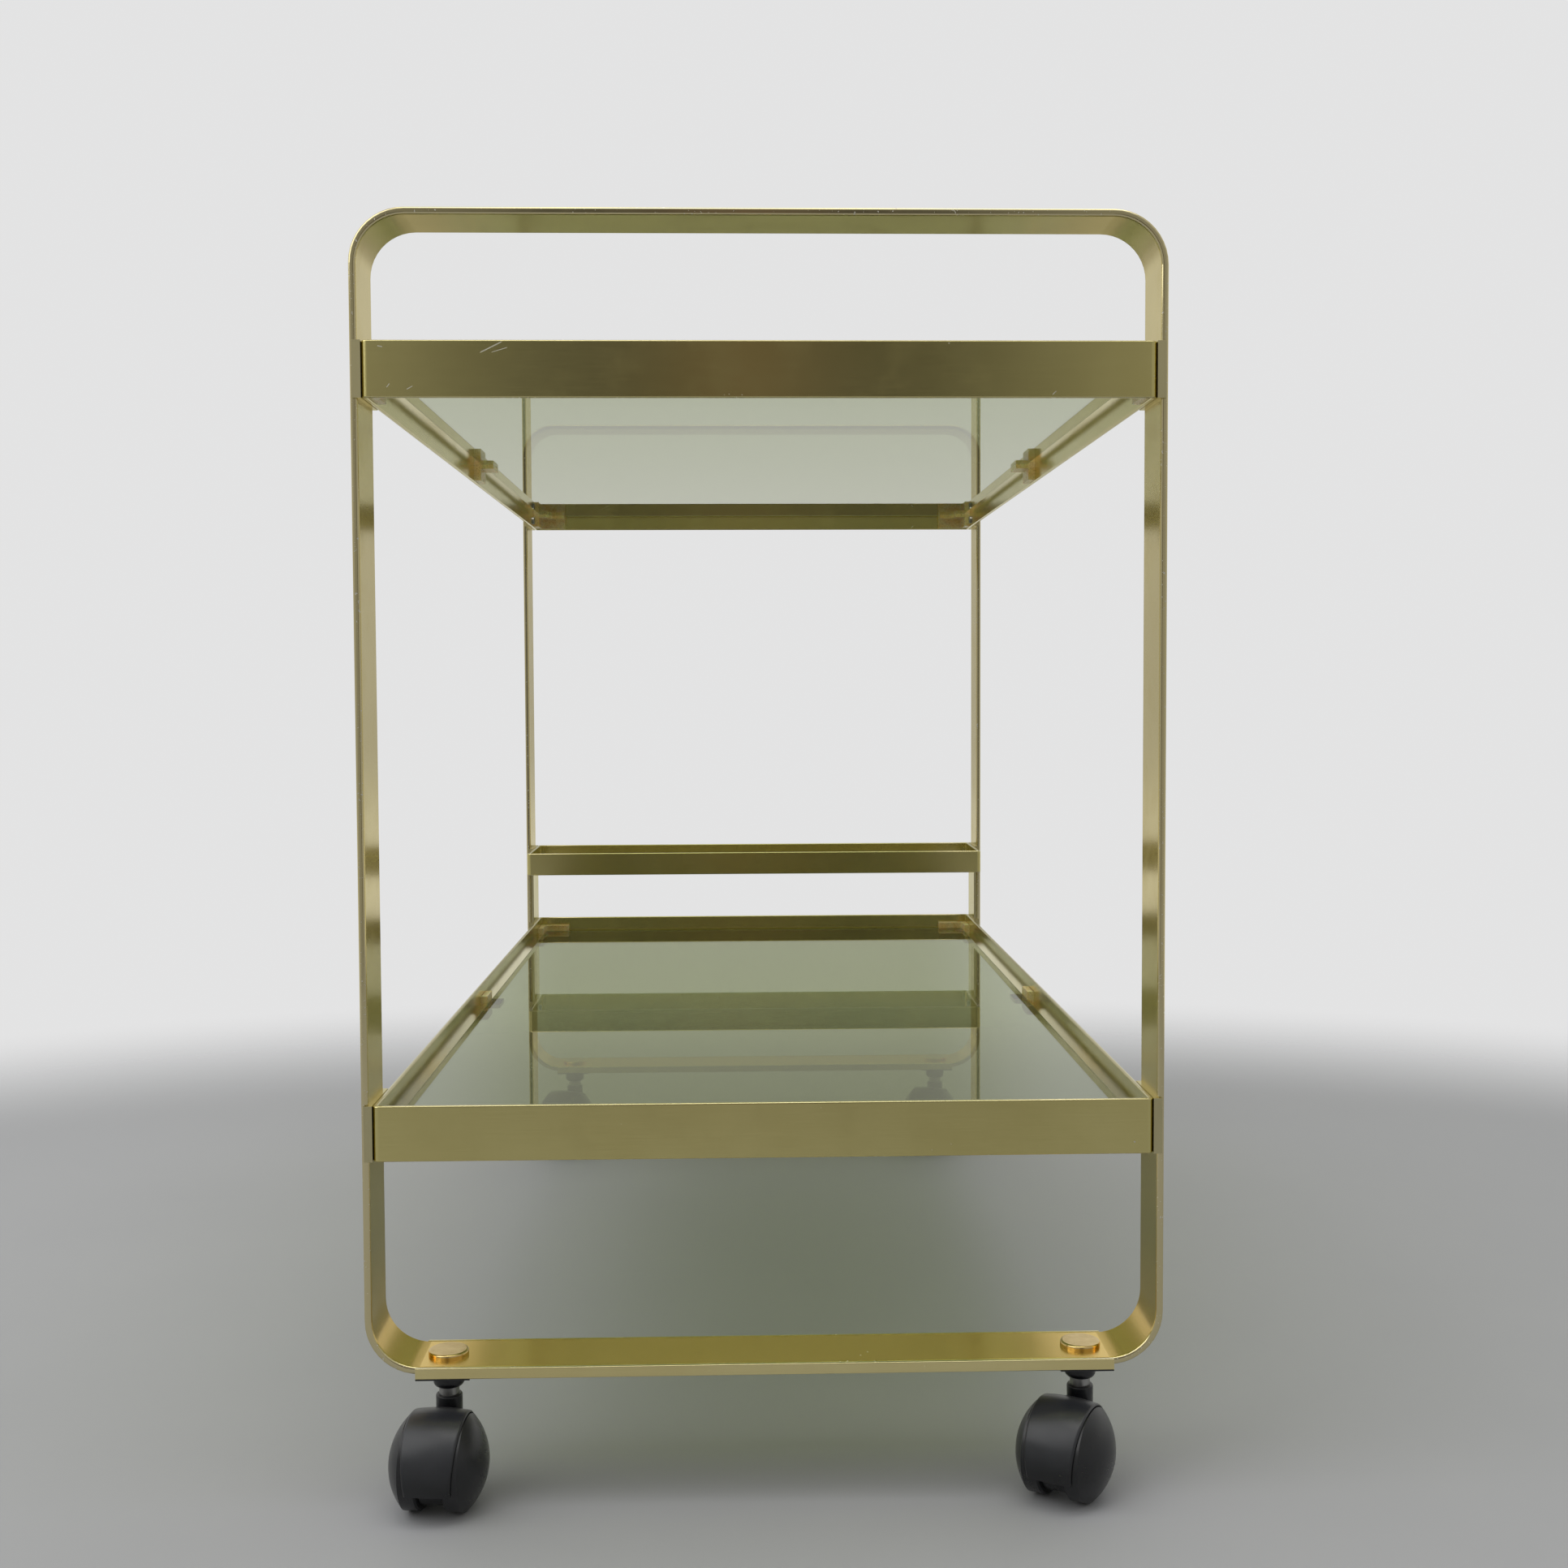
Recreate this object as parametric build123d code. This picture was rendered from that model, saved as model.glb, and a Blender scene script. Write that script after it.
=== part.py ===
from build123d import *
import os

os.makedirs("parts", exist_ok=True)

# Bar cart, in millimetres. X runs across the cart, Y along it with the bottle rail at the +Y end,
# Z up from the floor.

# Frame hoops: flat bar bent to a rounded rectangle.
cart_width = 430.0
hoop_height = 618.0
hoop_pitch = 750.0
hoop_corner = 29.0
bar_width = 40.0
bar_thick = 4.0
bar_edge = 1.4

# Base channel under the bottom bar of each hoop.
channel_past_stem = 14.5
channel_sheet = 2.0
channel_edge = 0.5

# Trays: an upright band around a glass shelf.
lower_tray_rise = 112.0
upper_tray_drop = 99.0
band_height = 30.0
band_thick = 2.5
band_corner = 3.2
band_edge = 0.9
glass_thick = 5.0
glass_gap = 5.0
glass_corner = 3.0
glass_edge = 0.5

# Glass clips between band and glass.
clip_leg = 27.0
side_clip_length = 25.0
clip_above_glass = 5.5
clip_above_rim = 1.0
clip_tongue = 9.0
clip_tongue_thick = 3.0
clip_glass_gap = 0.2
clip_edge = 0.6

# Saddles that hold trays and rail off the uprights.
saddle_web = 2.2
saddle_lip = 2.0
saddle_reach = 2.4

# Bottle rail at the rear hoop.
rail_above_tray = 50.0
rail_height = 20.0
rail_front_reach = 50.0

# Screws through band and saddle into the upright.
screw_radius = 2.0
screw_head_radius = 3.4
screw_head_height = 1.6
screw_slot = 0.8
screw_bite = 3.0
screw_inset = 14.0
tray_screw_height = 6.0
hole_gap = 0.2
thread_gap = 0.05
overcut = 1.0

# Casters.
caster_inset = 41.5
trail = 21.0
wheel_radius = 25.0
wheel_half_gap = 7.0
dome_end = 26.5
dome_sphere = 35.0
tread_edge = 1.0
hood_radius = 27.6
hood_crown = 1.2
hood_sheet = 2.0
hood_half = 15.9
hood_taper = 3.3
hood_edge = 1.6
hood_skirt = 16.5
core_half = 6.5
core_radius = 22.0
neck_radius = 7.2
neck_rise = 1.8
neck_floor = 2.0
neck_edge = 1.0
axle_radius = 3.0
axle_half = 20.0
axle_end_gap = 0.3
running_gap = 0.05
stem_radius = 4.0
stem_depth = 21.0
stem_collar_radius = 5.5
stem_collar_height = 4.3
stem_above_bar = 1.8
socket_floor_gap = 1.0
ring_height = 1.4
ring_above_foot = 5.0
ring_depth = 0.7
ring_radius = 5.0
ring_slack = 0.4
ring_split = 2.0
pad_length = 29.0
pad_sheet = 0.6
pad_drop = 11.3
pad_boss_radius = 8.5
pad_edge = 3.0
nut_radius = 11.0
nut_height = 2.8
nut_edge = 1.3

# Each caster: which side in X, which end in Y, and how far its trail turns from -Y towards -X, in degrees.
casters = {
    "fl": (-1, -1, 6.5),
    "fr": (1, -1, 31.5),
    "rl": (-1, 1, 20.0),
    "rr": (1, 1, 20.0),
}

# Derived sizes.
neck_top = wheel_radius + hood_radius + neck_rise
pad_bottom = neck_top + stem_collar_height
ride_height = pad_bottom + pad_drop
hoop_bottom = ride_height + channel_sheet
bar_top = hoop_bottom + bar_thick
inner_face_x = cart_width / 2 - bar_thick
lower_tray_bottom = bar_top + lower_tray_rise
upper_tray_bottom = hoop_bottom + hoop_height - upper_tray_drop
rail_bottom = lower_tray_bottom + band_height + rail_above_tray
caster_x = cart_width / 2 - caster_inset
channel_length = 2 * (caster_x + channel_past_stem)
tray_width = 2 * (inner_face_x - saddle_web)
tray_length = hoop_pitch + bar_width + 2 * saddle_lip
well_width = tray_width - 2 * band_thick
well_length = tray_length - 2 * band_thick
well_corner = band_corner - band_thick
band_inner_x = well_width / 2
glass_width = well_width - 2 * glass_gap
glass_length = well_length - 2 * glass_gap
rail_back = hoop_pitch / 2 + bar_width / 2 + saddle_lip
rail_front = hoop_pitch / 2 - bar_width / 2 - rail_front_reach
rail_depth = rail_back - rail_front
collar_bottom = neck_top + running_gap
stem_foot = neck_top - stem_depth
ring_middle = stem_foot + ring_above_foot
stem_top = bar_top + stem_above_bar

tray_bottoms = {"upper": upper_tray_bottom, "lower": lower_tray_bottom}


def save(shape, name):
    export_step(shape, f"parts/{name}.step")


def rod_x(radius, x0, x1, y, z):
    # Round rod along X from x0 to x1.
    return Pos((x0 + x1) / 2, y, z) * Rot(0, 90, 0) * Cylinder(radius, abs(x1 - x0))


def rod_z(radius, z0, z1, x=0.0, y=0.0):
    # Round rod along Z from z0 to z1.
    return Pos(x, y, (z0 + z1) / 2) * Cylinder(radius, z1 - z0)


def end_edges(shape, axis):
    # Edges that lie in the first and last plane of a prism along the axis.
    groups = shape.edges().group_by(axis)
    return groups[0] + groups[-1]


def axle_rod(radius, x0, x1):
    return rod_x(radius, x0, x1, -trail, wheel_radius)


def hood_cover():
    # Crowned solid of the hood's outer shape, narrower towards its lower rim.
    side_radius = hood_radius - hood_crown
    crown = ThreePointArc((-hood_half, side_radius), (0, hood_radius), (hood_half, side_radius))
    flanks = Polyline((hood_half, side_radius), (hood_half, 0), (-hood_half, 0), (-hood_half, side_radius))
    body = Pos(0, -trail, wheel_radius) * revolve(make_face([crown, flanks]), Axis.X)
    foot = hood_half - hood_taper
    high = wheel_radius + hood_radius + overcut
    outline = Polyline((-foot, hood_skirt), (foot, hood_skirt), (hood_half, high), (-hood_half, high), close=True)
    body = body & extrude(Plane.XZ * make_face(outline), trail + 2 * hood_radius, both=True)
    rims = body.edges().filter_by(lambda e: e.bounding_box().size.Z > hood_radius / 2)
    return fillet(rims, hood_edge)


def hood():
    # Hood over both wheels, with the core between them and the neck that turns on the stem.
    hood_inner = hood_radius - hood_sheet
    shell = hood_cover() - axle_rod(hood_inner, -hood_half - overcut, hood_half + overcut)
    core = axle_rod(hood_inner + hood_sheet / 2, -core_half, core_half)
    below = 2 * hood_radius
    core -= Pos(0, -trail, hood_skirt - below / 2) * Box(2 * below, 2 * below, below)
    core += axle_rod(core_radius, -core_half, core_half)
    neck = rod_z(neck_radius, stem_foot - socket_floor_gap - neck_floor, neck_top)
    neck = fillet(neck.edges().group_by(Axis.Z)[-1], neck_edge)
    neck -= axle_rod(hood_inner, -hood_half, hood_half)
    body = shell + core + neck
    body -= rod_z(stem_radius + running_gap, stem_foot - socket_floor_gap, neck_top + overcut)
    slot_half = ring_height / 2 + ring_slack
    body -= rod_z(ring_radius + ring_slack, ring_middle - slot_half, ring_middle + slot_half)
    return body - axle_rod(axle_radius, -hood_half, hood_half)


def axle():
    pin = axle_rod(axle_radius, -axle_half, axle_half)
    return chamfer(pin.edges().filter_by(GeomType.CIRCLE), axle_radius / 6)


def wheel(side):
    # Tread under the hood and a domed outer face, bored blind for the axle.
    body = axle_rod(wheel_radius, side * wheel_half_gap, side * (dome_end + overcut))
    inner_rim = body.edges().filter_by(GeomType.CIRCLE).sort_by(Axis.X)[0 if side > 0 else -1]
    body = chamfer(inner_rim, tread_edge)
    ball = Pos(side * (dome_end - dome_sphere), -trail, wheel_radius) * Rot(0, 90, 0) * Sphere(dome_sphere)
    body = body & ball
    bore_end = side * (axle_half + axle_end_gap)
    return body - axle_rod(axle_radius + running_gap, side * (wheel_half_gap - overcut), bore_end)


# Caster pieces that turn, shaped once about the stem's axis.
turned_pieces = {"hood": hood(), "axle": axle(), "wheel_left": wheel(-1), "wheel_right": wheel(1)}


def front_reach(turn):
    # How far a caster turned by this much stands out in front of its stem.
    return max(-(Rot(0, 0, -turn) * piece).bounding_box().min.Y for piece in turned_pieces.values())


# The front casters stand out past the hoop, so the frame sits back by half of that to centre the
# cart on the origin.
farthest = max(front_reach(turn) for side, end, turn in casters.values() if end < 0)
frame_shift = (farthest - bar_width / 2 - saddle_lip) / 2
hoop_y = {-1: frame_shift - hoop_pitch / 2, 1: frame_shift + hoop_pitch / 2}


def upright_loop(width, length, corner, height, z):
    # Solid prism with rounded upright corners, standing on height z over the middle of the frame.
    return Pos(0, frame_shift, z) * extrude(RectangleRounded(width, length, corner), height)


def tray_screw_places(bottom):
    # Centre of each tray screw, as side, y and z.
    z = bottom + tray_screw_height
    return [(side, hoop_y[end] - end * screw_inset, z) for side in (-1, 1) for end in (-1, 1)]


rail_screw_places = [(side, hoop_y[1], rail_bottom + rail_height / 2) for side in (-1, 1)]
tray_screws = {name: tray_screw_places(z) for name, z in tray_bottoms.items()}


def screw_holes(places, x0, x1, radius):
    # Rods that cut the screw holes through anything between x0 and x1 from the middle of the cart.
    return [rod_x(radius, side * x0, side * x1, y, z) for side, y, z in places]


def band_holes(places):
    return screw_holes(places, band_inner_x - overcut, tray_width / 2 + overcut, screw_radius + hole_gap)


def saddle_holes(places):
    return screw_holes(places, inner_face_x - 2 * saddle_web, inner_face_x + overcut, screw_radius + hole_gap)


def screw(side, y, z):
    # Pan-head screw, head on the inside of the band, shank into the upright.
    head_x = side * (band_inner_x - screw_head_height)
    tip_x = side * (inner_face_x + screw_bite)
    head = rod_x(screw_head_radius, head_x, side * band_inner_x, y, z)
    head = fillet(head.edges().group_by(Axis.X)[0 if side > 0 else -1], screw_slot)
    slot = Pos(head_x, y, z) * Box(2 * screw_slot, screw_slot, 3 * screw_head_radius)
    return head + rod_x(screw_radius, side * band_inner_x, tip_x, y, z) - slot


def stem_holes(end):
    # Rods that cut the two caster holes through the channel and the bottom bar.
    low = ride_height - overcut
    high = bar_top + overcut
    radius = stem_radius + hole_gap
    return [rod_z(radius, low, high, side * caster_x, hoop_y[end]) for side in (-1, 1)]


def hoop(end):
    # Bent flat bar with the screw holes in its uprights and the two caster holes in its bottom bar.
    outer = RectangleRounded(cart_width, hoop_height, hoop_corner)
    inner = RectangleRounded(cart_width - 2 * bar_thick, hoop_height - 2 * bar_thick, hoop_corner - bar_thick)
    body = extrude(Plane.XZ * (outer - inner), bar_width / 2, both=True)
    body = fillet(end_edges(body, Axis.Y), bar_edge)
    body = Pos(0, hoop_y[end], hoop_bottom + hoop_height / 2) * body
    places = tray_screws["upper"] + tray_screws["lower"] + rail_screw_places
    places = [p for p in places if abs(p[1] - hoop_y[end]) < bar_width / 2]
    tip_x = inner_face_x + screw_bite
    for hole in screw_holes(places, inner_face_x - overcut, tip_x, screw_radius + thread_gap):
        body -= hole
    for hole in stem_holes(end):
        body -= hole
    return body


def base_channel(end):
    # Shallow U whose lips cover the edges of the bottom bar.
    depth = bar_width + 2 * channel_sheet
    height = channel_sheet + bar_thick
    body = Box(channel_length, depth, height)
    body -= Pos(0, 0, channel_sheet) * Box(channel_length, bar_width, height)
    rim_y = bar_width / 2 + channel_sheet / 2
    rims = body.edges().filter_by(Axis.X).filter_by(lambda e: abs(e.center().Y) > rim_y)
    body = fillet(rims, channel_edge)
    body = Pos(0, hoop_y[end], ride_height + height / 2) * body
    for hole in stem_holes(end):
        body -= hole
    return body


def tray_frame(name):
    # Upright band bent to a rounded rectangle.
    bottom = tray_bottoms[name]
    band = upright_loop(tray_width, tray_length, band_corner, band_height, bottom)
    band -= upright_loop(well_width, well_length, well_corner, band_height, bottom)
    band = fillet(end_edges(band, Axis.Z), band_edge)
    for hole in band_holes(tray_screws[name]):
        band -= hole
    return band


def glass_bottom(name):
    return tray_bottoms[name] + (band_height - glass_thick) / 2


def glass(name):
    # Flat shelf with ground edges.
    sheet = upright_loop(glass_width, glass_length, glass_corner, glass_thick, glass_bottom(name))
    return chamfer(end_edges(sheet, Axis.Z), glass_edge)


def clip_loop(name):
    # The clips' section taken right around the tray: a block in the gap and a tongue under the glass.
    low = tray_bottoms[name] + clip_above_rim
    seat = glass_bottom(name)
    high = seat + glass_thick + clip_above_glass
    reach = glass_gap - clip_glass_gap
    block = upright_loop(well_width, well_length, well_corner, high - low, low)
    block -= upright_loop(well_width - 2 * reach, well_length - 2 * reach, glass_corner, high - low, low)
    under = 2 * (glass_gap + clip_tongue)
    tongue = upright_loop(well_width, well_length, well_corner, clip_tongue_thick, seat - clip_tongue_thick)
    tongue -= upright_loop(well_width - under, well_length - under, glass_corner, clip_tongue_thick,
                           seat - clip_tongue_thick)
    return block + tongue


def corner_clips(name):
    # One clip in each corner of the tray.
    loop = clip_loop(name)
    z = tray_bottoms[name] + band_height / 2
    pieces = []
    for side in (-1, 1):
        for end in (-1, 1):
            x = side * (band_inner_x - clip_leg / 2)
            y = frame_shift + end * (well_length / 2 - clip_leg / 2)
            piece = loop & Pos(x, y, z) * Box(clip_leg, clip_leg, band_height)
            top = piece.edges().group_by(Axis.Z)[-1]
            pieces.append(fillet(top, clip_edge).solid())
    return Compound(pieces)


def side_clips(name):
    # One clip at the middle of each long side.
    loop = clip_loop(name)
    z = tray_bottoms[name] + band_height / 2
    pieces = []
    for side in (-1, 1):
        x = side * (band_inner_x - clip_leg / 2)
        piece = loop & Pos(x, frame_shift, z) * Box(clip_leg, side_clip_length, band_height)
        top = piece.edges().group_by(Axis.Z)[-1]
        pieces.append(fillet(top, clip_edge).solid())
    return Compound(pieces)


def saddle(side, end, bottom, height):
    # U-shaped clip: its web lies on the upright's inner face, its lips lap over the upright's edges.
    depth = bar_width + 2 * saddle_lip
    web_x = side * (inner_face_x - saddle_web)
    lip_x = side * (inner_face_x + saddle_reach)
    at = Pos((web_x + lip_x) / 2, hoop_y[end], bottom + height / 2)
    body = at * Box(saddle_web + saddle_reach, depth, height)
    return body - Pos(side * (inner_face_x + saddle_reach), hoop_y[end], bottom + height / 2) * Box(
        2 * saddle_reach, bar_width, height)


def tray_saddles(name):
    # Four saddles at the height of the tray's band.
    bottom = tray_bottoms[name]
    holes = saddle_holes(tray_screws[name])
    pieces = []
    for side in (-1, 1):
        for end in (-1, 1):
            piece = saddle(side, end, bottom, band_height)
            for hole in holes:
                piece -= hole
            pieces.append(piece.solid())
    return Compound(pieces)


def rail_saddles():
    # Saddles at the height of the rail, each with a strip that stands on the lower tray's saddle.
    strip_foot = lower_tray_bottom + band_height
    strip_height = rail_bottom - strip_foot
    holes = saddle_holes(rail_screw_places)
    pieces = []
    for side in (-1, 1):
        piece = saddle(side, 1, rail_bottom, rail_height)
        x = side * (inner_face_x - saddle_web / 2)
        piece += Pos(x, hoop_y[1], strip_foot + strip_height / 2) * Box(saddle_web, bar_width, strip_height)
        for hole in holes:
            piece -= hole
        pieces.append(piece.solid())
    return Compound(pieces)


def bottle_rail():
    # Low ring that keeps bottles upright at the rear end of the lower shelf.
    ring = RectangleRounded(tray_width, rail_depth, band_corner)
    ring -= RectangleRounded(well_width, rail_depth - 2 * band_thick, well_corner)
    ring = extrude(ring, rail_height)
    ring = fillet(end_edges(ring, Axis.Z), band_edge)
    ring = Pos(0, frame_shift + (rail_front + rail_back) / 2, rail_bottom) * ring
    for hole in band_holes(rail_screw_places):
        ring -= hole
    return ring


def cap_nut():
    # Flat round nut on top of the bar, closed above the stem's end.
    nut = rod_z(nut_radius, bar_top, bar_top + nut_height)
    nut = fillet(nut.edges().group_by(Axis.Z)[-1], nut_edge)
    return nut - rod_z(stem_radius + thread_gap, bar_top - overcut, stem_top + hole_gap)


def pad():
    # Thin plate under the channel with a rounded boss around the stem.
    boss = rod_z(pad_boss_radius, pad_bottom, ride_height)
    boss = fillet(boss.edges().group_by(Axis.Z)[0], pad_edge)
    plate = Pos(0, 0, ride_height - pad_sheet / 2) * Box(pad_length, bar_width + 2 * channel_sheet, pad_sheet)
    return boss + plate - rod_z(stem_radius + hole_gap, pad_bottom - overcut, ride_height + overcut)


def stem():
    # Steel stem: threaded end up through the bar, collar, journal down in the hood with a ring groove.
    body = rod_z(stem_radius, stem_foot, stem_top) + rod_z(stem_collar_radius, collar_bottom, pad_bottom)
    half = ring_height / 2
    groove = rod_z(stem_radius + overcut, ring_middle - half, ring_middle + half)
    groove -= rod_z(stem_radius - ring_depth, ring_middle - half, ring_middle + half)
    return body - groove


def retaining_ring():
    # Split ring in the stem's groove.
    half = ring_height / 2
    ring = rod_z(ring_radius, ring_middle - half, ring_middle + half)
    ring -= rod_z(stem_radius - ring_depth, ring_middle - half, ring_middle + half)
    return ring - Pos(0, ring_radius, ring_middle) * Box(ring_split, 2 * ring_radius, 2 * ring_height)


for end, name in ((-1, "front"), (1, "rear")):
    save(hoop(end), f"hoop_{name}")
    save(base_channel(end), f"base_channel_{name}")

for name in tray_bottoms:
    save(tray_frame(name), f"tray_frame_{name}")
    save(glass(name), f"glass_{name}")
    save(corner_clips(name), f"corner_clips_{name}")
    save(side_clips(name), f"side_clips_{name}")
    save(tray_saddles(name), f"tray_saddles_{name}")
    save(Compound([screw(*place).solid() for place in tray_screws[name]]), f"tray_screws_{name}")

save(bottle_rail(), "bottle_rail")
save(rail_saddles(), "rail_saddles")
save(Compound([screw(*place).solid() for place in rail_screw_places]), "rail_screws")

# Caster pieces that stay with the frame are shaped once too, then all are set in place.
fixed_pieces = {"cap_nut": cap_nut(), "pad": pad(), "stem": stem(), "retaining_ring": retaining_ring()}
for key, (side, end, turn) in casters.items():
    at = Pos(side * caster_x, hoop_y[end], 0)
    for name, piece in fixed_pieces.items():
        save(at * piece, f"{name}_{key}")
    for name, piece in turned_pieces.items():
        save(at * Rot(0, 0, -turn) * piece, f"{name}_{key}")
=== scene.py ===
import math

import bpy
from mathutils import Matrix, Vector

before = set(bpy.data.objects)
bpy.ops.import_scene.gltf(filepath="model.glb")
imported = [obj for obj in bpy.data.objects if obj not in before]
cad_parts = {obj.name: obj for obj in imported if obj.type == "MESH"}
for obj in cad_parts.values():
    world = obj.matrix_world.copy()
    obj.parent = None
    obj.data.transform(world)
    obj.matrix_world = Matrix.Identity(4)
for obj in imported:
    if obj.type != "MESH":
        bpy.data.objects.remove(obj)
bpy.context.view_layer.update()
scene = bpy.context.scene

X, Y, Z = 0, 1, 2

# Colours, linear.
GOLD_DEEP = (0.575, 0.500, 0.195, 1.0)
GOLD_PALE = (0.670, 0.597, 0.262, 1.0)
GOLD_RUBBED = (0.640, 0.590, 0.420, 1.0)
HOOP_DEEP = (0.610, 0.495, 0.185, 1.0)
HOOP_PALE = (0.720, 0.598, 0.250, 1.0)
# Painted reflection: the brighter, warmer gold painted on the hoops near the floor.
HOOP_PAINTED_REFLECTION = (0.900, 0.630, 0.175, 1.0)
CHANNEL_DEEP = (0.720, 0.610, 0.275, 1.0)
CHANNEL_PALE = (0.830, 0.730, 0.370, 1.0)
BARE_METAL = (0.820, 0.800, 0.720, 1.0)
STEEL_DEEP = (0.270, 0.268, 0.262, 1.0)
STEEL_PALE = (0.360, 0.357, 0.350, 1.0)
NUT_DEEP = (0.620, 0.450, 0.180, 1.0)
NUT_PALE = (0.740, 0.560, 0.260, 1.0)
GLASS_CLEAN = (0.960, 0.975, 0.940, 1.0)
GLASS_WIPED = (0.930, 0.950, 0.905, 1.0)
GLASS_RIM_DEEP = (0.700, 0.700, 0.360, 1.0)
GLASS_RIM_PALE = (0.800, 0.790, 0.460, 1.0)
GLASS_SHADOW = (0.620, 0.655, 0.500, 1.0)
GLASS_TINT = (0.470, 0.540, 0.200, 1.0)
AMBER_DEEP = (0.900, 0.640, 0.240, 1.0)
AMBER_PALE = (0.960, 0.810, 0.440, 1.0)
BLACK = (0.0040, 0.0043, 0.0056, 1.0)
# The bluish film colour serves both as dust and as the painted sheen on the tops of the casters.
DUST_AND_SHEEN = (0.0700, 0.0750, 0.0900, 1.0)
FLOOR_DEEP = (0.360, 0.365, 0.382, 1.0)
FLOOR_PALE = (0.398, 0.402, 0.416, 1.0)
BACKDROP = (0.770, 0.770, 0.772, 1.0)

# Brush marks, as noise per metre along them, across them, and across those of the thin sheet pieces, and how much
# finer their second set is.
ALONG = 14.0
ACROSS = 1500.0
ACROSS_SHEET = 1300.0
FINER_MARKS = 3.7

# Gold tint: shares of the slow drift and of the brush marks. Heights in metres between which a painted reflection
# makes the hoops' gold brighter and warmer towards the floor, and how far it goes.
CLOUD_SHARE = 0.55
STREAK_SHARE = 0.45
PAINTED_REFLECTION_HEIGHTS = (0.150, 0.085)
PAINTED_REFLECTION_SHARE = 0.85

# Worn gold: how squarely a face looks along the edge axis where it starts to count as an edge and where it fully
# does, how far edges are rubbed paler, how much specks gather in patches, and how much rougher bare metal is.
EDGE_FACING = (0.30, 0.75)
EDGE_RUB = 0.55
PATCH_SHARE = 0.30
BARE_ROUGHNESS = 0.42

# Turned metal: rings over the piece's width, their drift over its height, and how much rougher some rings are.
RINGS = 60.0
RING_DRIFT = 9.0
RING_ROUGHNESS = 0.08

# Scratches: the bright core as a part of the half width, and how far from its middle a scratch stays bright, as a
# part of its length.
SCRATCH_CORE = 0.2
SCRATCH_STRETCH = 0.35

# Clear and cloudy pieces. The tint's density is per metre.
GLASS_IOR = 1.52
GLASS_DENSITY = 270.0
AMBER_IOR = 1.49

# Black plastic: dust all over, dust in scuffs, how much rougher the film of dust and painted sheen is, and the
# scuffs' share in the relief.
FILM_SHARE = 0.05
SCUFF_SHARE = 0.25
FILM_ROUGHNESS = 0.15
SCUFF_DEPTH = 0.4


class Tree:
    """Short calls for building one node tree."""

    def __init__(self, owner):
        owner.use_nodes = True
        self.tree = owner.node_tree
        self.tree.nodes.clear()

    def put(self, socket, value):
        if isinstance(value, bpy.types.NodeSocket):
            self.tree.links.new(value, socket)
        else:
            socket.default_value = value

    def add(self, kind, inputs=None, **settings):
        node = self.tree.nodes.new(kind)
        for key, value in settings.items():
            setattr(node, key, value)
        for key, value in (inputs or {}).items():
            self.put(node.inputs[key], value)
        return node

    def math(self, operation, a, b=0.0, clamp=False):
        return self.add("ShaderNodeMath", {0: a, 1: b}, operation=operation, use_clamp=clamp).outputs[0]

    def plus(self, a, b, clamp=False):
        return self.math("ADD", a, b, clamp)

    def minus(self, a, b):
        return self.math("SUBTRACT", a, b)

    def times(self, a, b):
        return self.math("MULTIPLY", a, b)

    def size(self, value):
        return self.math("ABSOLUTE", value)

    def distance(self, a, b):
        return self.math("SQRT", self.plus(self.times(a, a), self.times(b, b)))

    def vector(self, x=0.0, y=0.0, z=0.0):
        return self.add("ShaderNodeCombineXYZ", {X: x, Y: y, Z: z}).outputs[0]

    def scaled(self, vector, factors):
        return self.add("ShaderNodeVectorMath", {0: vector, 1: factors}, operation="MULTIPLY").outputs[0]

    def split(self, vector):
        return self.add("ShaderNodeSeparateXYZ", {0: vector}).outputs

    def noise(self, vector, scale=1.0, detail=2.0, roughness=0.5):
        node = self.add("ShaderNodeTexNoise", {"Vector": vector, "Scale": scale, "Detail": detail,
                                               "Roughness": roughness})
        return node.outputs["Fac"]

    def ramp(self, value, low, high, to_low=0.0, to_high=1.0):
        node = self.add("ShaderNodeMapRange", {"Value": value, "From Min": low, "From Max": high,
                                               "To Min": to_low, "To Max": to_high},
                        interpolation_type="SMOOTHSTEP")
        return node.outputs["Result"]

    def mix(self, factor, a, b):
        node = self.add("ShaderNodeMix", data_type="RGBA")
        self.put(node.inputs[0], factor)
        self.put(node.inputs[6], a)
        self.put(node.inputs[7], b)
        return node.outputs[2]

    def bump(self, height, strength, distance):
        node = self.add("ShaderNodeBump", {"Height": height, "Strength": strength, "Distance": distance})
        return node.outputs["Normal"]

    def principled(self, inputs):
        return self.add("ShaderNodeBsdfPrincipled", inputs).outputs[0]

    def mix_shader(self, factor, a, b):
        return self.add("ShaderNodeMixShader", {0: factor, 1: a, 2: b}).outputs[0]

    def surface(self, shader):
        self.add("ShaderNodeOutputMaterial", {"Surface": shader})


def material(name):
    mat = bpy.data.materials.new(name)
    return mat, Tree(mat)


def line_mask(t, x, z, start, end, width):
    """1 on a thin straight scratch between two points of the XZ plane, fading to 0 at its sides and ends."""
    run = Vector((end[0] - start[0], end[1] - start[1]))
    length = run.length
    ux, uz = run.x / length, run.y / length
    dx = t.minus(x, start[0])
    dz = t.minus(z, start[1])
    along = t.plus(t.times(dx, ux), t.times(dz, uz))
    off = t.size(t.minus(t.times(dx, uz), t.times(dz, ux)))
    thin = t.ramp(off, width, SCRATCH_CORE * width)
    inside = t.ramp(t.size(t.minus(along, length / 2)), length / 2, SCRATCH_STRETCH * length)
    return t.times(thin, inside)


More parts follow.
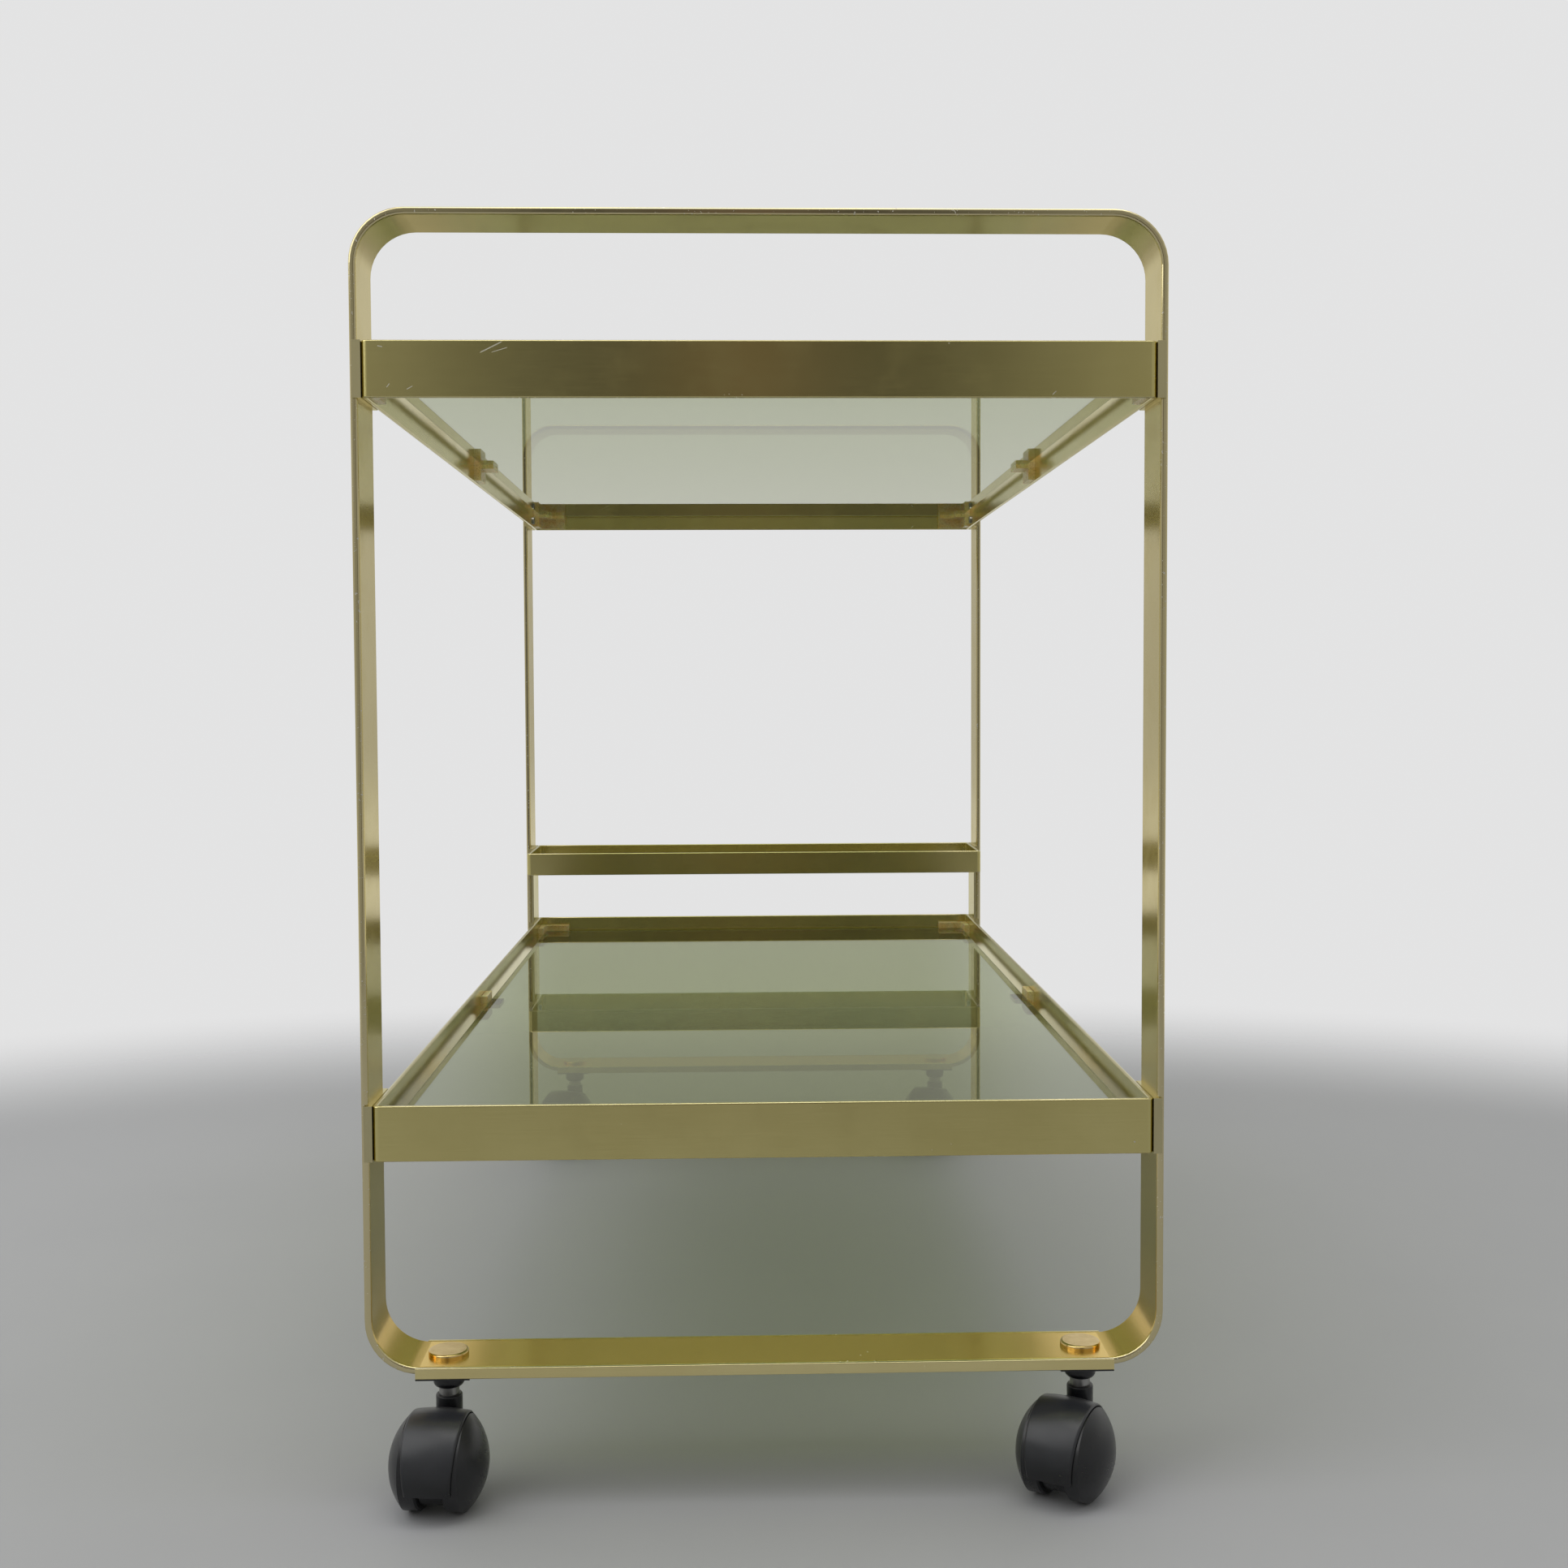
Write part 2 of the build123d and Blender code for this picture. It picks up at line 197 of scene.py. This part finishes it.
def gold(name, grain, across, edge_axis, wear, tint=(GOLD_DEEP, GOLD_PALE), painted_reflection=None, edge_roughness=0.0,
         scratches=()):
    """Satin gold anodised aluminium. grain stretches the brush marks, across is the direction that they
    spread a highlight in, and edge_axis is the axis that the bar's narrow edges face. wear sets the specks
    on those edges, and edge_roughness is added to their roughness. The colour given for the lowest part is a
    painted
    reflection: a brighter, warmer gold near the floor that stands in for the light the bottom bar reflects."""
    mat, t = material(name)
    coords = t.add("ShaderNodeTexCoord")
    place = coords.outputs["Object"]
    where = t.split(place)
    facing = t.split(coords.outputs["Normal"])
    edge = t.ramp(t.size(facing[edge_axis]), *EDGE_FACING)
    streaks = t.noise(t.scaled(place, grain), detail=3.0, roughness=0.6)
    fine = t.noise(t.scaled(place, tuple(FINER_MARKS * g for g in grain)), detail=2.0, roughness=0.6)
    cloud = t.noise(place, scale=9.0, detail=3.0, roughness=0.55)
    smudge = t.noise(place, scale=38.0, detail=4.0, roughness=0.6)

    # Tint drifts slowly over the bar and slightly from one brush mark to the next.
    drift = t.plus(t.times(t.ramp(cloud, 0.3, 0.7), CLOUD_SHARE), t.times(streaks, STREAK_SHARE))
    colour = t.mix(drift, tint[0], tint[1])
    # Painted reflection: towards the floor the hoops' wide faces are painted a brighter, warmer gold, standing in
    # for the light that the bottom bar reflects.
    if painted_reflection:
        low = t.times(t.ramp(where[Z], *PAINTED_REFLECTION_HEIGHTS), t.ramp(edge, 0.0, 0.5, to_low=PAINTED_REFLECTION_SHARE, to_high=0.0))
        colour = t.mix(low, colour, painted_reflection)

    # Worn anodising: the narrow edges are rubbed paler and specked, the wide faces have a very few fine specks.
    colour = t.mix(t.times(edge, EDGE_RUB), colour, GOLD_RUBBED)
    patch = t.noise(place, scale=55.0, detail=2.0, roughness=0.5)
    speck = t.plus(t.noise(place, scale=720.0, detail=2.0, roughness=0.5), t.times(patch, PATCH_SHARE))
    edge_specks = t.times(t.ramp(speck, 0.83, 0.90), edge)
    dots = t.noise(place, scale=640.0, detail=0.0, roughness=0.5)
    face_specks = t.times(t.ramp(dots, 0.862, 0.880), t.ramp(patch, 0.60, 0.66))
    worn = t.plus(t.times(edge_specks, wear), face_specks, clamp=True)
    if scratches:
        front = t.ramp(facing[Y], -0.85, -0.95)
        for start, end, width in scratches:
            mark = t.times(line_mask(t, where[X], where[Z], start, end, width), front)
            worn = t.math("MAXIMUM", worn, mark)
    colour = t.mix(worn, colour, BARE_METAL)

    rough = t.plus(t.ramp(fine, 0.25, 0.75, to_low=0.165, to_high=0.215),
                   t.ramp(smudge, 0.45, 0.75, to_low=0.0, to_high=0.040))
    rough = t.plus(rough, t.times(worn, BARE_ROUGHNESS))
    rough = t.plus(rough, t.times(edge, edge_roughness))
    height = t.minus(t.plus(streaks, fine), worn)
    t.surface(t.principled({
        "Base Color": colour,
        "Metallic": 1.0,
        "Roughness": rough,
        "Anisotropic": 0.85,
        "Normal": t.bump(height, strength=0.06, distance=0.00006),
        "Tangent": t.vector(*across),
    }))
    return mat


def turned_metal(name, deep, pale, roughness):
    """Turned metal: fine rings about the piece's own upright axis."""
    mat, t = material(name)
    coords = t.add("ShaderNodeTexCoord")
    inside = t.split(coords.outputs["Generated"])
    radius = t.distance(t.minus(inside[X], 0.5), t.minus(inside[Y], 0.5))
    turning = t.vector(x=t.times(radius, RINGS), z=t.times(inside[Z], RING_DRIFT))
    rings = t.noise(turning, detail=2.0, roughness=0.6)
    cloud = t.noise(coords.outputs["Object"], scale=160.0, detail=3.0, roughness=0.6)
    t.surface(t.principled({
        "Base Color": t.mix(t.ramp(cloud, 0.25, 0.85), pale, deep),
        "Metallic": 1.0,
        "Roughness": t.plus(t.ramp(rings, 0.3, 0.7, to_low=roughness, to_high=roughness + RING_ROUGHNESS),
                            t.ramp(cloud, 0.5, 0.8, to_low=0.0, to_high=0.05)),
        "Normal": t.bump(rings, strength=0.05, distance=0.00006),
    }))
    return mat


def smoked_glass():
    """Float glass with a grey-green tint, a few faint wipe marks and dust, and a ground rim."""
    mat, t = material("smoked_glass_sheet")
    coords = t.add("ShaderNodeTexCoord")
    place = coords.outputs["Object"]
    wipe = t.noise(t.scaled(place, (7.0, 2.2, 1.0)), detail=4.0, roughness=0.65)
    dust = t.noise(place, scale=900.0, detail=1.0, roughness=0.5)
    sheet = t.principled({
        "Base Color": t.mix(t.ramp(wipe, 0.4, 0.8), GLASS_CLEAN, GLASS_WIPED),
        "Roughness": t.plus(t.ramp(wipe, 0.55, 0.80, to_low=0.0, to_high=0.012),
                            t.ramp(dust, 0.76, 0.82, to_low=0.0, to_high=0.12)),
        "IOR": GLASS_IOR,
        "Transmission Weight": 1.0,
        "Normal": t.bump(wipe, strength=0.012, distance=0.0004),
    })
    rim = t.principled({
        "Base Color": t.mix(t.noise(place, scale=700.0, detail=2.0, roughness=0.5),
                            GLASS_RIM_DEEP, GLASS_RIM_PALE),
        "Roughness": 0.55,
        "IOR": GLASS_IOR,
        "Transmission Weight": 0.45,
    })
    flat = t.size(t.split(coords.outputs["Normal"])[Z])
    seen = t.mix_shader(t.ramp(flat, 0.88, 0.78), sheet, rim)

    # Lamps shine through the sheet, so that it casts a tinted shadow.
    shadow = t.add("ShaderNodeBsdfTransparent", {"Color": GLASS_SHADOW}).outputs[0]
    lamp_ray = t.add("ShaderNodeLightPath").outputs["Is Shadow Ray"]
    tint = t.add("ShaderNodeVolumeAbsorption", {"Color": GLASS_TINT, "Density": GLASS_DENSITY})
    t.add("ShaderNodeOutputMaterial", {"Surface": t.mix_shader(lamp_ray, seen, shadow),
                                       "Volume": tint.outputs[0]})
    return mat


def amber_plastic():
    """Cloudy amber plastic that lets some light through."""
    mat, t = material("amber_clip")
    place = t.add("ShaderNodeTexCoord").outputs["Object"]
    cloud = t.noise(place, scale=120.0, detail=3.0, roughness=0.6)
    grain = t.noise(place, scale=1500.0, detail=2.0, roughness=0.5)
    t.surface(t.principled({
        "Base Color": t.mix(t.ramp(cloud, 0.3, 0.7), AMBER_DEEP, AMBER_PALE),
        "Roughness": t.ramp(grain, 0.3, 0.7, to_low=0.24, to_high=0.36),
        "IOR": AMBER_IOR,
        "Transmission Weight": 0.28,
        "Subsurface Weight": 0.60,
        "Subsurface Radius": (0.004, 0.0025, 0.0008),
        "Normal": t.bump(grain, strength=0.12, distance=0.0001),
    }))
    return mat


def black_plastic(name, upward_dust_and_sheen):
    """Moulded black plastic with a fine grain, scuffs and a bluish film of dust. The second argument paints what
    faces
    up paler: partly dust settled there, partly a painted sheen where the top catches the light."""
    mat, t = material(name)
    coords = t.add("ShaderNodeTexCoord")
    place = coords.outputs["Object"]
    up = t.split(coords.outputs["Normal"])[Z]
    grain = t.noise(place, scale=2600.0, detail=2.0, roughness=0.5)
    cloud = t.noise(place, scale=70.0, detail=4.0, roughness=0.65)
    scuff = t.noise(t.scaled(place, (260.0, 420.0, 900.0)), detail=3.0, roughness=0.7)
    dust_and_sheen_film = t.times(t.ramp(cloud, 0.30, 0.75), FILM_SHARE)
    # Partly dust, partly painted sheen: faces from a little below level upwards are painted paler.
    dust_and_sheen_film = t.plus(dust_and_sheen_film, t.times(t.ramp(up, -0.25, 0.45), upward_dust_and_sheen))
    dust_and_sheen_film = t.plus(dust_and_sheen_film, t.ramp(scuff, 0.68, 0.80, to_low=0.0, to_high=SCUFF_SHARE), clamp=True)
    t.surface(t.principled({
        "Base Color": t.mix(dust_and_sheen_film, BLACK, DUST_AND_SHEEN),
        "Roughness": t.plus(t.ramp(cloud, 0.3, 0.7, to_low=0.26, to_high=0.33), t.times(dust_and_sheen_film, FILM_ROUGHNESS)),
        "Specular IOR Level": 0.5,
        "Sheen Weight": 0.03,
        "Sheen Roughness": 0.5,
        "Normal": t.bump(t.plus(grain, t.times(scuff, SCUFF_DEPTH)), strength=0.16, distance=0.00012),
    }))
    return mat


# Scratches on the upper tray's front band, as start and end in X and Z, and half width, in metres.
band_scratches = (
    ((-0.1473, 0.6140), (-0.1346, 0.6203), 0.00042),
    ((-0.1412, 0.6143), (-0.1321, 0.6171), 0.00026),
    ((-0.2000, 0.6178), (-0.1972, 0.6172), 0.00035),
    ((-0.1852, 0.5952), (-0.1818, 0.5971), 0.00030),
    ((-0.1955, 0.5962), (-0.1938, 0.5984), 0.00030),
    ((0.1530, 0.5925), (0.1552, 0.5946), 0.00030),
)

band = {"grain": (ALONG, ALONG, ACROSS), "across": (0.02, 0.03, 1.0), "edge_axis": Z}
hoop_gold = gold("gold_hoop", grain=(ALONG, ACROSS, ALONG), across=(0.03, 1.0, 0.02), edge_axis=Y, wear=1.0,
                 tint=(HOOP_DEEP, HOOP_PALE), painted_reflection=HOOP_PAINTED_REFLECTION, edge_roughness=-0.09)
band_gold = gold("gold_band", wear=0.5, **band)
upper_band_gold = gold("gold_band_upper", wear=0.7, scratches=band_scratches, **band)
channel_gold = gold("gold_channel", grain=(ALONG, ACROSS_SHEET, ACROSS_SHEET), across=(0.02, 0.7, 0.7),
                    edge_axis=Z, wear=0.5, tint=(CHANNEL_DEEP, CHANNEL_PALE))
saddle_gold = gold("gold_saddle", grain=(ACROSS_SHEET, ACROSS_SHEET, ALONG), across=(0.7, 0.7, 0.02),
                   edge_axis=Y, wear=0.4, edge_roughness=0.32)
nut_gold = turned_metal("gold_turned", NUT_DEEP, NUT_PALE, roughness=0.13)
steel = turned_metal("steel_turned", STEEL_DEEP, STEEL_PALE, roughness=0.30)
glass = smoked_glass()
amber = amber_plastic()
hood_black = black_plastic("black_hood", upward_dust_and_sheen=0.24)
wheel_black = black_plastic("black_wheel", upward_dust_and_sheen=0.06)

# The finish of each node, by how its name starts. The longest start that fits counts.
finish = {
    "hoop": hoop_gold,
    "base_channel": channel_gold,
    "tray_frame": band_gold,
    "tray_frame_upper": upper_band_gold,
    "bottle_rail": band_gold,
    "tray_saddles": saddle_gold,
    "rail_saddles": saddle_gold,
    "glass": glass,
    "corner_clips": amber,
    "side_clips": amber,
    "tray_screws": steel,
    "rail_screws": steel,
    "cap_nut": nut_gold,
    "pad": hood_black,
    "stem": steel,
    "retaining_ring": steel,
    "hood": hood_black,
    "axle": steel,
    "wheel": wheel_black,
}

for name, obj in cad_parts.items():
    best = max((key for key in finish if name.startswith(key)), key=len)
    for slot in obj.material_slots:
        slot.material = finish[best]

# Floor: plain pale grey, its far rim fading out into the backdrop. Its middle lies in front of the cart.
FLOOR_HALF = 2.6
FLOOR_FORWARD = 0.7
FADE_START = 1.35
FADE_END = 1.95
near, far = -FLOOR_HALF - FLOOR_FORWARD, FLOOR_HALF - FLOOR_FORWARD
corners = [(-FLOOR_HALF, near, 0), (FLOOR_HALF, near, 0), (FLOOR_HALF, far, 0), (-FLOOR_HALF, far, 0)]
floor_mesh = bpy.data.meshes.new("floor")
floor_mesh.from_pydata(corners, [], [(0, 1, 2, 3)])
floor = bpy.data.objects.new("floor", floor_mesh)
scene.collection.objects.link(floor)
floor_mat, t = material("floor_plain")
place = t.add("ShaderNodeTexCoord").outputs["Object"]
where = t.split(place)
reach = t.distance(where[X], t.plus(where[Y], FLOOR_FORWARD))
mottle = t.noise(place, scale=5.0, detail=4.0, roughness=0.6)
ground = t.principled({
    "Base Color": t.mix(mottle, FLOOR_DEEP, FLOOR_PALE),
    "Roughness": t.ramp(mottle, 0.3, 0.7, to_low=0.70, to_high=0.80),
    "Specular IOR Level": 0.3,
})
gone = t.add("ShaderNodeBsdfTransparent").outputs[0]
t.surface(t.mix_shader(t.ramp(reach, FADE_START, FADE_END), ground, gone))
floor_mesh.materials.append(floor_mat)

# Studio light by a ray's direction: dimmer from the front, paler from the rear, with a plain backdrop for the
# camera and through glass. A name that ends in AT gives the two values of X, Y or Z between which a colour takes
# over. The rear has one row of colours behind the cart and one beside it. Each starts with its lowest colour, and
# then gives the values of Z between which each next colour takes over.
FRONT_MIDDLE = (0.090, 0.088, 0.083, 1.0)
FRONT_SIDES = (0.420, 0.415, 0.390, 1.0)
FRONT_GLOW = (0.200, 0.150, 0.120, 1.0)
FRONT_ABOVE = (0.620, 0.620, 0.600, 1.0)
REAR_ABOVE = (0.740, 0.740, 0.730, 1.0)
FRONT_SIDES_AT = (0.07, 0.29)
FRONT_GLOW_AT = (0.060, 0.0)
FRONT_ABOVE_AT = (0.30, 0.85)
REAR_BESIDE_AT = (0.09, 0.19)
REAR_ABOVE_AT = (0.30, 0.70)
REAR_AT = (-0.40, 0.45)
REAR_BEHIND = ((0.380, 0.365, 0.240, 1.0), (
    (-0.20, -0.15, (0.740, 0.740, 0.680, 1.0)),
    (-0.09, -0.03, (0.550, 0.550, 0.520, 1.0)),
    (0.02, 0.11, (0.450, 0.450, 0.365, 1.0)),
))
REAR_BESIDE = ((0.380, 0.355, 0.200, 1.0), (
    (-0.21, -0.165, (0.760, 0.760, 0.700, 1.0)),
    (-0.09, -0.03, (0.530, 0.530, 0.500, 1.0)),
    (0.02, 0.17, (0.740, 0.740, 0.710, 1.0)),
))


def banded(t, height, bands):
    """The colour that a row of colours has at this height."""
    colour, changes = bands
    for low, high, after in changes:
        colour = t.mix(t.ramp(height, low, high), colour, after)
    return colour


world = bpy.data.worlds.new("studio")
scene.world = world
t = Tree(world)
ray = t.split(t.add("ShaderNodeTexCoord").outputs["Generated"])
aside = t.size(ray[X])
front = t.mix(t.ramp(aside, *FRONT_SIDES_AT), FRONT_MIDDLE, FRONT_SIDES)
front = t.mix(t.ramp(aside, *FRONT_GLOW_AT), front, FRONT_GLOW)
front = t.mix(t.ramp(ray[Z], *FRONT_ABOVE_AT), front, FRONT_ABOVE)
behind = banded(t, ray[Z], REAR_BEHIND)
beside = banded(t, ray[Z], REAR_BESIDE)
rear = t.mix(t.ramp(aside, *REAR_BESIDE_AT), behind, beside)
rear = t.mix(t.ramp(ray[Z], *REAR_ABOVE_AT), rear, REAR_ABOVE)
around = t.mix(t.ramp(ray[Y], *REAR_AT), front, rear)
paths = t.add("ShaderNodeLightPath").outputs
plain = t.math("MAXIMUM", paths["Is Camera Ray"], paths["Is Transmission Ray"])
sky = t.add("ShaderNodeBackground", {"Color": t.mix(plain, around, BACKDROP), "Strength": 1.0})
t.add("ShaderNodeOutputWorld", {"Surface": sky.outputs[0]})


def soft_lamp(name, place, target, size, power, colour=(1.0, 1.0, 1.0)):
    data = bpy.data.lights.new(name, "AREA")
    data.shape = "RECTANGLE"
    data.size = size[0]
    data.size_y = size[1]
    data.energy = power
    data.color = colour
    lamp = bpy.data.objects.new(name, data)
    scene.collection.objects.link(lamp)
    aim = (Vector(target) - Vector(place)).to_track_quat("-Z", "Y").to_matrix().to_4x4()
    lamp.matrix_world = Matrix.Translation(place) @ aim


soft_lamp("ceiling_lamp", place=(0.15, -0.35, 2.40), target=(0.0, 0.0, 0.0), size=(1.7, 1.3), power=16.0,
          colour=(1.0, 0.985, 0.96))
soft_lamp("fill_lamp", place=(-1.9, -1.1, 2.2), target=(0.0, 0.0, 0.4), size=(2.4, 2.4), power=26.0)

# Camera at the photograph's place: focal length and centre in pixels of a 1932 by 1932 image.
IMAGE = 1932.0
FOCAL = 2224.772
CENTRE = (975.186, 954.069)
CAMERA_PLACE = Vector((-0.011573, -1.338031, 0.439078))
YAW, PITCH, ROLL = 0.02759, 0.04788, 0.00421
SENSOR = 36.0
forward = Vector((math.sin(YAW) * math.cos(PITCH), math.cos(YAW) * math.cos(PITCH), -math.sin(PITCH)))
right = Vector((math.cos(YAW), -math.sin(YAW), 0.0))
down = forward.cross(right)
across = math.cos(ROLL) * right + math.sin(ROLL) * down
lower = -math.sin(ROLL) * right + math.cos(ROLL) * down
turn = Matrix((across, -lower, -forward)).transposed().to_4x4()
lens = bpy.data.cameras.new("photo_camera")
lens.sensor_width = SENSOR
lens.lens = SENSOR * FOCAL / IMAGE
lens.shift_x = (IMAGE / 2 - CENTRE[0]) / IMAGE
lens.shift_y = (CENTRE[1] - IMAGE / 2) / IMAGE
lens.clip_start = 0.02
lens.clip_end = 50.0
camera = bpy.data.objects.new("photo_camera", lens)
scene.collection.objects.link(camera)
camera.matrix_world = Matrix.Translation(CAMERA_PLACE) @ turn
scene.camera = camera
scene.view_settings.view_transform = "Standard"
